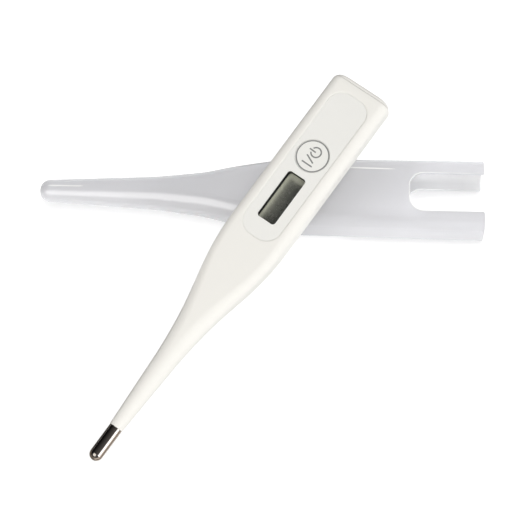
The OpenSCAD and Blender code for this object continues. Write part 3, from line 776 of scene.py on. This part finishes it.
def reach(axis, lo, hi, a, b):
    """Ramp from lo to hi between a and b mm, measured from the probe tip along an axis."""
    d = ft.nodes.new("ShaderNodeVectorMath")
    d.operation = "DOT_PRODUCT"
    d.inputs[1].default_value = axis
    ft.links.new(here, d.inputs[0])
    zero = 0.001 * TIP.dot(axis)
    return spanned(ft, d.outputs["Value"], lo, hi, zero + 0.001 * a, zero + 0.001 * b)


# right of the body, past the tip, the mirrored ground is paler
flat = Vector((AX.x, AX.y, 0.0)).normalized()


def blend(fac, a, b):
    """Mix of two colours; either may be a socket."""
    n = ft.nodes.new("ShaderNodeMix")
    n.data_type = "RGBA"
    ft.links.new(fac, n.inputs["Factor"])
    for key, v in (("A", a), ("B", b)):
        if isinstance(v, tuple):
            n.inputs[key].default_value = (*v, 1)
        else:
            ft.links.new(v, n.inputs[key])
    return n.outputs["Result"]


# beside the steel tip the ground is measured in heights of the tip above it
out = ft.nodes.new("ShaderNodeVectorMath")
out.operation = "DOT_PRODUCT"
out.inputs[1].default_value = LEFT
ft.links.new(here, out.inputs[0])
off = ft.nodes.new("ShaderNodeMath")
off.operation = "SUBTRACT"
ft.links.new(out.outputs["Value"], off.inputs[0])
off.inputs[1].default_value = 0.001 * TIP.dot(LEFT)
heights = both("DIVIDE", off.outputs[0], reach(flat, 0.0017, 0.0088, 0.0, 40.0))
tan_ground = both("MULTIPLY", both("MAXIMUM", spanned(ft, heights, 1.0, 0.0, -4.2, -3.4), spanned(ft, heights, 0.0, 1.0, -2.1, -1.7)), spanned(ft, heights, 1.0, 0.0, -1.0, -0.7))
right_ground = blend(reach(flat, 0.0, 1.0, 12.0, 22.0), blend(tan_ground, (0.16, 0.135, 0.115), (0.92, 0.82, 0.72)), (0.58, 0.585, 0.59))
left_ground = blend(reach(flat, 0.0, 1.0, 0.5, 4.0), (0.24, 0.205, 0.17), (0.06, 0.05, 0.04))
tone = blend(reach(LEFT, 1.0, 0.0, -1.6, -0.6), left_ground, right_ground)
# close to the near side of the case's flare it is dimmer too
brink = both("SUBTRACT", where.outputs["Y"], spanned(ft, where.outputs["X"], 0.0211, 0.0149, -0.0374, 0.0106))
close = both("MULTIPLY", spanned(ft, brink, 0.0, 1.0, -0.010, -0.003), both("MULTIPLY", spanned(ft, where.outputs["X"], 0.0, 1.0, -0.036, -0.018), spanned(ft, where.outputs["X"], 1.0, 0.0, 0.012, 0.024)))
white_ground = blend(close, (1.1, 1.1, 1.11), (0.82, 0.82, 0.83))
ft.links.new(blend(dim, blend(spanned(ft, where.outputs["Y"], 0.0, 1.0, 0.020, 0.030), white_ground, (0.75, 0.75, 0.76)), tone), fg.inputs["Color"])
ft.links.new(mirrored(ft, fp), fx.inputs[0])
# soft contact shade under the far arm of the fork and along the near side of the case
slot_shade = both("MULTIPLY", both("MULTIPLY", spanned(ft, where.outputs["Y"], 0.0, 1.0, 0.0286, 0.0318), spanned(ft, where.outputs["Y"], 1.0, 0.0, 0.033, 0.034)), both("MULTIPLY", spanned(ft, where.outputs["X"], 0.0, 1.0, 0.0435, 0.0450), spanned(ft, where.outputs["X"], 1.0, 0.0, 0.0640, 0.0662)))
side_shade = both("MULTIPLY", both("MULTIPLY", spanned(ft, where.outputs["Y"], 0.0, 0.8, 0.0132, 0.0167), spanned(ft, where.outputs["Y"], 1.0, 0.0, 0.0175, 0.0185)), both("MULTIPLY", spanned(ft, where.outputs["X"], 0.0, 1.0, 0.022, 0.028), spanned(ft, where.outputs["X"], 1.0, 0.0, 0.0652, 0.0668)))
shaded = both("MAXIMUM", slot_shade, side_shade)
ft.links.new(blend(shaded, (0.6, 0.6, 0.6), (0.48, 0.48, 0.485)), fb.inputs["Base Color"])
ft.links.new(spanned(ft, shaded, 0.55, 0.45, 0.0, 1.0), fb.inputs["Emission Strength"])
# left of the body the ground gives back less light, and warmer
shade = ft.nodes.new("ShaderNodeEmission")
shade.inputs["Color"].default_value = (0.20, 0.17, 0.135, 1)
turn = ft.nodes.new("ShaderNodeMixShader")
left_shade = both("MULTIPLY", reach(LEFT, 0.0, 1.0, -2.0, 2.0), both("MAXIMUM", far, both("MULTIPLY", near, reach(LEFT, 1.0, 0.0, 24.0, 46.0))))
right_shade = both("MULTIPLY", near, reach(LEFT, 0.0, 0.21, -50.0, -30.0))
rear_shade = both("MULTIPLY", reach(flat, 0.0, 0.45, 128.0, 134.0), reach(LEFT, 0.0, 1.0, -24.0, -10.0))
ft.links.new(both("MULTIPLY", fp.outputs["Is Diffuse Ray"], both("MAXIMUM", rear_shade, both("MAXIMUM", left_shade, right_shade))), turn.inputs[0])
ft.links.new(fb.outputs[0], turn.inputs[1])
ft.links.new(shade.outputs[0], turn.inputs[2])
ft.links.new(turn.outputs[0], fx.inputs[1])
ft.links.new(fg.outputs[0], fx.inputs[2])
ft.links.new(fx.outputs[0], next(n for n in ft.nodes if n.type == "OUTPUT_MATERIAL").inputs[0])
floor.data.materials.append(fm)
floor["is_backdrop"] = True

lit = bpy.data.collections.new("lit_by_softboxes")
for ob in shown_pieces():
    lit.objects.link(ob)


def softbox(name, azimuth, elevation, distance, width, height, power, colour):
    """Area light aimed at the object. Azimuth from +Y towards +X, in degrees."""
    d = bpy.data.lights.new(name, "AREA")
    d.shape, d.size, d.size_y, d.energy, d.color = "RECTANGLE", width, height, power, colour
    o = bpy.data.objects.new(name, d)
    az, el = radians(azimuth), radians(elevation)
    v = Vector((sin(az) * cos(el), cos(az) * cos(el), sin(el)))
    o.location = v * distance
    o.rotation_euler = v.to_track_quat("Z", "Y").to_euler()
    scene.collection.objects.link(o)
    o.light_linking.receiver_collection = lit
    return o


def only(light, shines_on, blocked_by=None, gloss=True, diffuse=True):
    light.light_linking.receiver_collection = shines_on
    if blocked_by:
        light.light_linking.blocker_collection = blocked_by
    light.visible_glossy, light.visible_diffuse = gloss, diffuse
    light.visible_transmission = gloss and diffuse


case_only = bpy.data.collections.new("lit_case")
case_only.objects.link(bpy.data.objects["case_shell"])
case_only.objects.link(bpy.data.objects["case_slot_rim"])
shell_only = bpy.data.collections.new("lit_shell")
shell_only.objects.link(bpy.data.objects["case_shell"])
tip_only = bpy.data.collections.new("lit_tip")
tip_only.objects.link(bpy.data.objects["steel_tip"])
floor_only = bpy.data.collections.new("lit_floor")
floor_only.objects.link(floor)
only(softbox("softbox_right", 128, 24, 0.85, 0.6, 0.6, 0.52, (1.0, 1.0, 0.995)), lit, diffuse=False)
only(softbox("softbox_right_soft", 128, 60, 0.85, 0.6, 0.6, 1.70, (1.0, 0.992, 0.975)), lit, gloss=False)
only(softbox("softbox_left", -138, 43, 0.75, 0.6, 0.55, 1.4, (1.0, 0.97, 0.925)), lit)
sheen = softbox("softbox_case", 180, 50, 0.75, 0.78, 0.68, 4.9, (1.0, 1.0, 1.0))
sheen.location.x = -0.41
only(sheen, case_only, diffuse=False)
only(softbox("softbox_back", 12, 18, 0.36, 0.40, 0.12, 0.95, (1.0, 1.0, 1.0)), case_only, gloss=False)
only(softbox("softbox_over", 0, 86, 0.9, 0.8, 0.8, 3.6, (1.0, 1.0, 1.0)), floor_only, case_only)

low = softbox("softbox_low", -155, 12, 0.16, 0.10, 0.05, 0.11, (1.0, 1.0, 1.0))
low.location.x -= 0.05
only(low, case_only, gloss=False)

# the polished tip has its own two highlights
only(softbox("softbox_tip_right", 126, 19, 0.85, 0.6, 0.52, 2.1, (1.0, 1.0, 1.0)), tip_only, diffuse=False)
only(softbox("softbox_tip_left", -138, 43, 0.75, 0.6, 0.55, 1.6, (1.0, 1.0, 1.0)), tip_only, diffuse=False)


def small_fill(name, at, towards, width, height, power):
    """Small lamp close to the case that brings back the light its milky walls would pass on."""
    o = softbox(name, 0, 90, 1.0, width, height, power, (1.0, 1.0, 1.0))
    o.location = at
    o.rotation_euler = (Vector(at) - Vector(towards)).to_track_quat("Z", "Y").to_euler()
    only(o, shell_only, case_only, gloss=False)
    return o


small_fill("fill_slot", (0.0510, 0.0225, 0.0035), (0.0437, 0.0290, 0.0030), 0.004, 0.006, 0.00075)
hover = 0.001 * (TIP + 90.5 * AX + 9.5 * LEFT + Vector((0, 0, 1.0)))
beside = small_fill("fill_beside", hover, hover - Vector((0, 0, 0.02)), 0.005, 0.026, 0.00052)
beside.rotation_euler = (0.0, 0.0, atan2(AX.y, AX.x) - pi / 2)

world = bpy.data.worlds.new("studio")
scene.world = world
world.use_nodes = True
wt = world.node_tree
wt.nodes.clear()
wo = wt.nodes.new("ShaderNodeOutputWorld")
path = wt.nodes.new("ShaderNodeLightPath")


def sky(colour):
    n = wt.nodes.new("ShaderNodeBackground")
    n.inputs["Color"].default_value = (*colour, 1)
    return n


def pick(fac, a, b):
    n = wt.nodes.new("ShaderNodeMixShader")
    wt.links.new(fac, n.inputs[0])
    wt.links.new(a, n.inputs[1])
    wt.links.new(b, n.inputs[2])
    return n.outputs[0]


# bright towards the near right, dim towards the far left
toward = wt.nodes.new("ShaderNodeVectorMath")
toward.operation = "DOT_PRODUCT"
toward.inputs[1].default_value = (0.66, -0.39, 0.64)
wt.links.new(wt.nodes.new("ShaderNodeTexCoord").outputs["Generated"], toward.inputs[0])
fill = sky((1.0, 1.0, 1.0))
wt.links.new(spanned(wt, toward.outputs["Value"], 0.03, 0.91, -1.0, 1.0), fill.inputs["Strength"])
# what polished surfaces mirror is dark, darkest to the left of the thermometer
across = wt.nodes.new("ShaderNodeVectorMath")
across.operation = "DOT_PRODUCT"
across.inputs[1].default_value = -LEFT
wt.links.new(wt.nodes.new("ShaderNodeTexCoord").outputs["Generated"], across.inputs[0])
gloom = sky((0.05, 0.047, 0.045))
wt.links.new(spanned(wt, across.outputs["Value"], 0.1, 2.2, -0.85, 0.5), gloom.inputs["Strength"])
base = pick(mirrored(wt, path), fill.outputs[0], gloom.outputs[0])
wt.links.new(pick(path.outputs["Is Camera Ray"], base, sky((1, 1, 1)).outputs[0]), wo.inputs[0])
scene.view_settings.view_transform = "Standard"
scene.view_settings.look = "None"
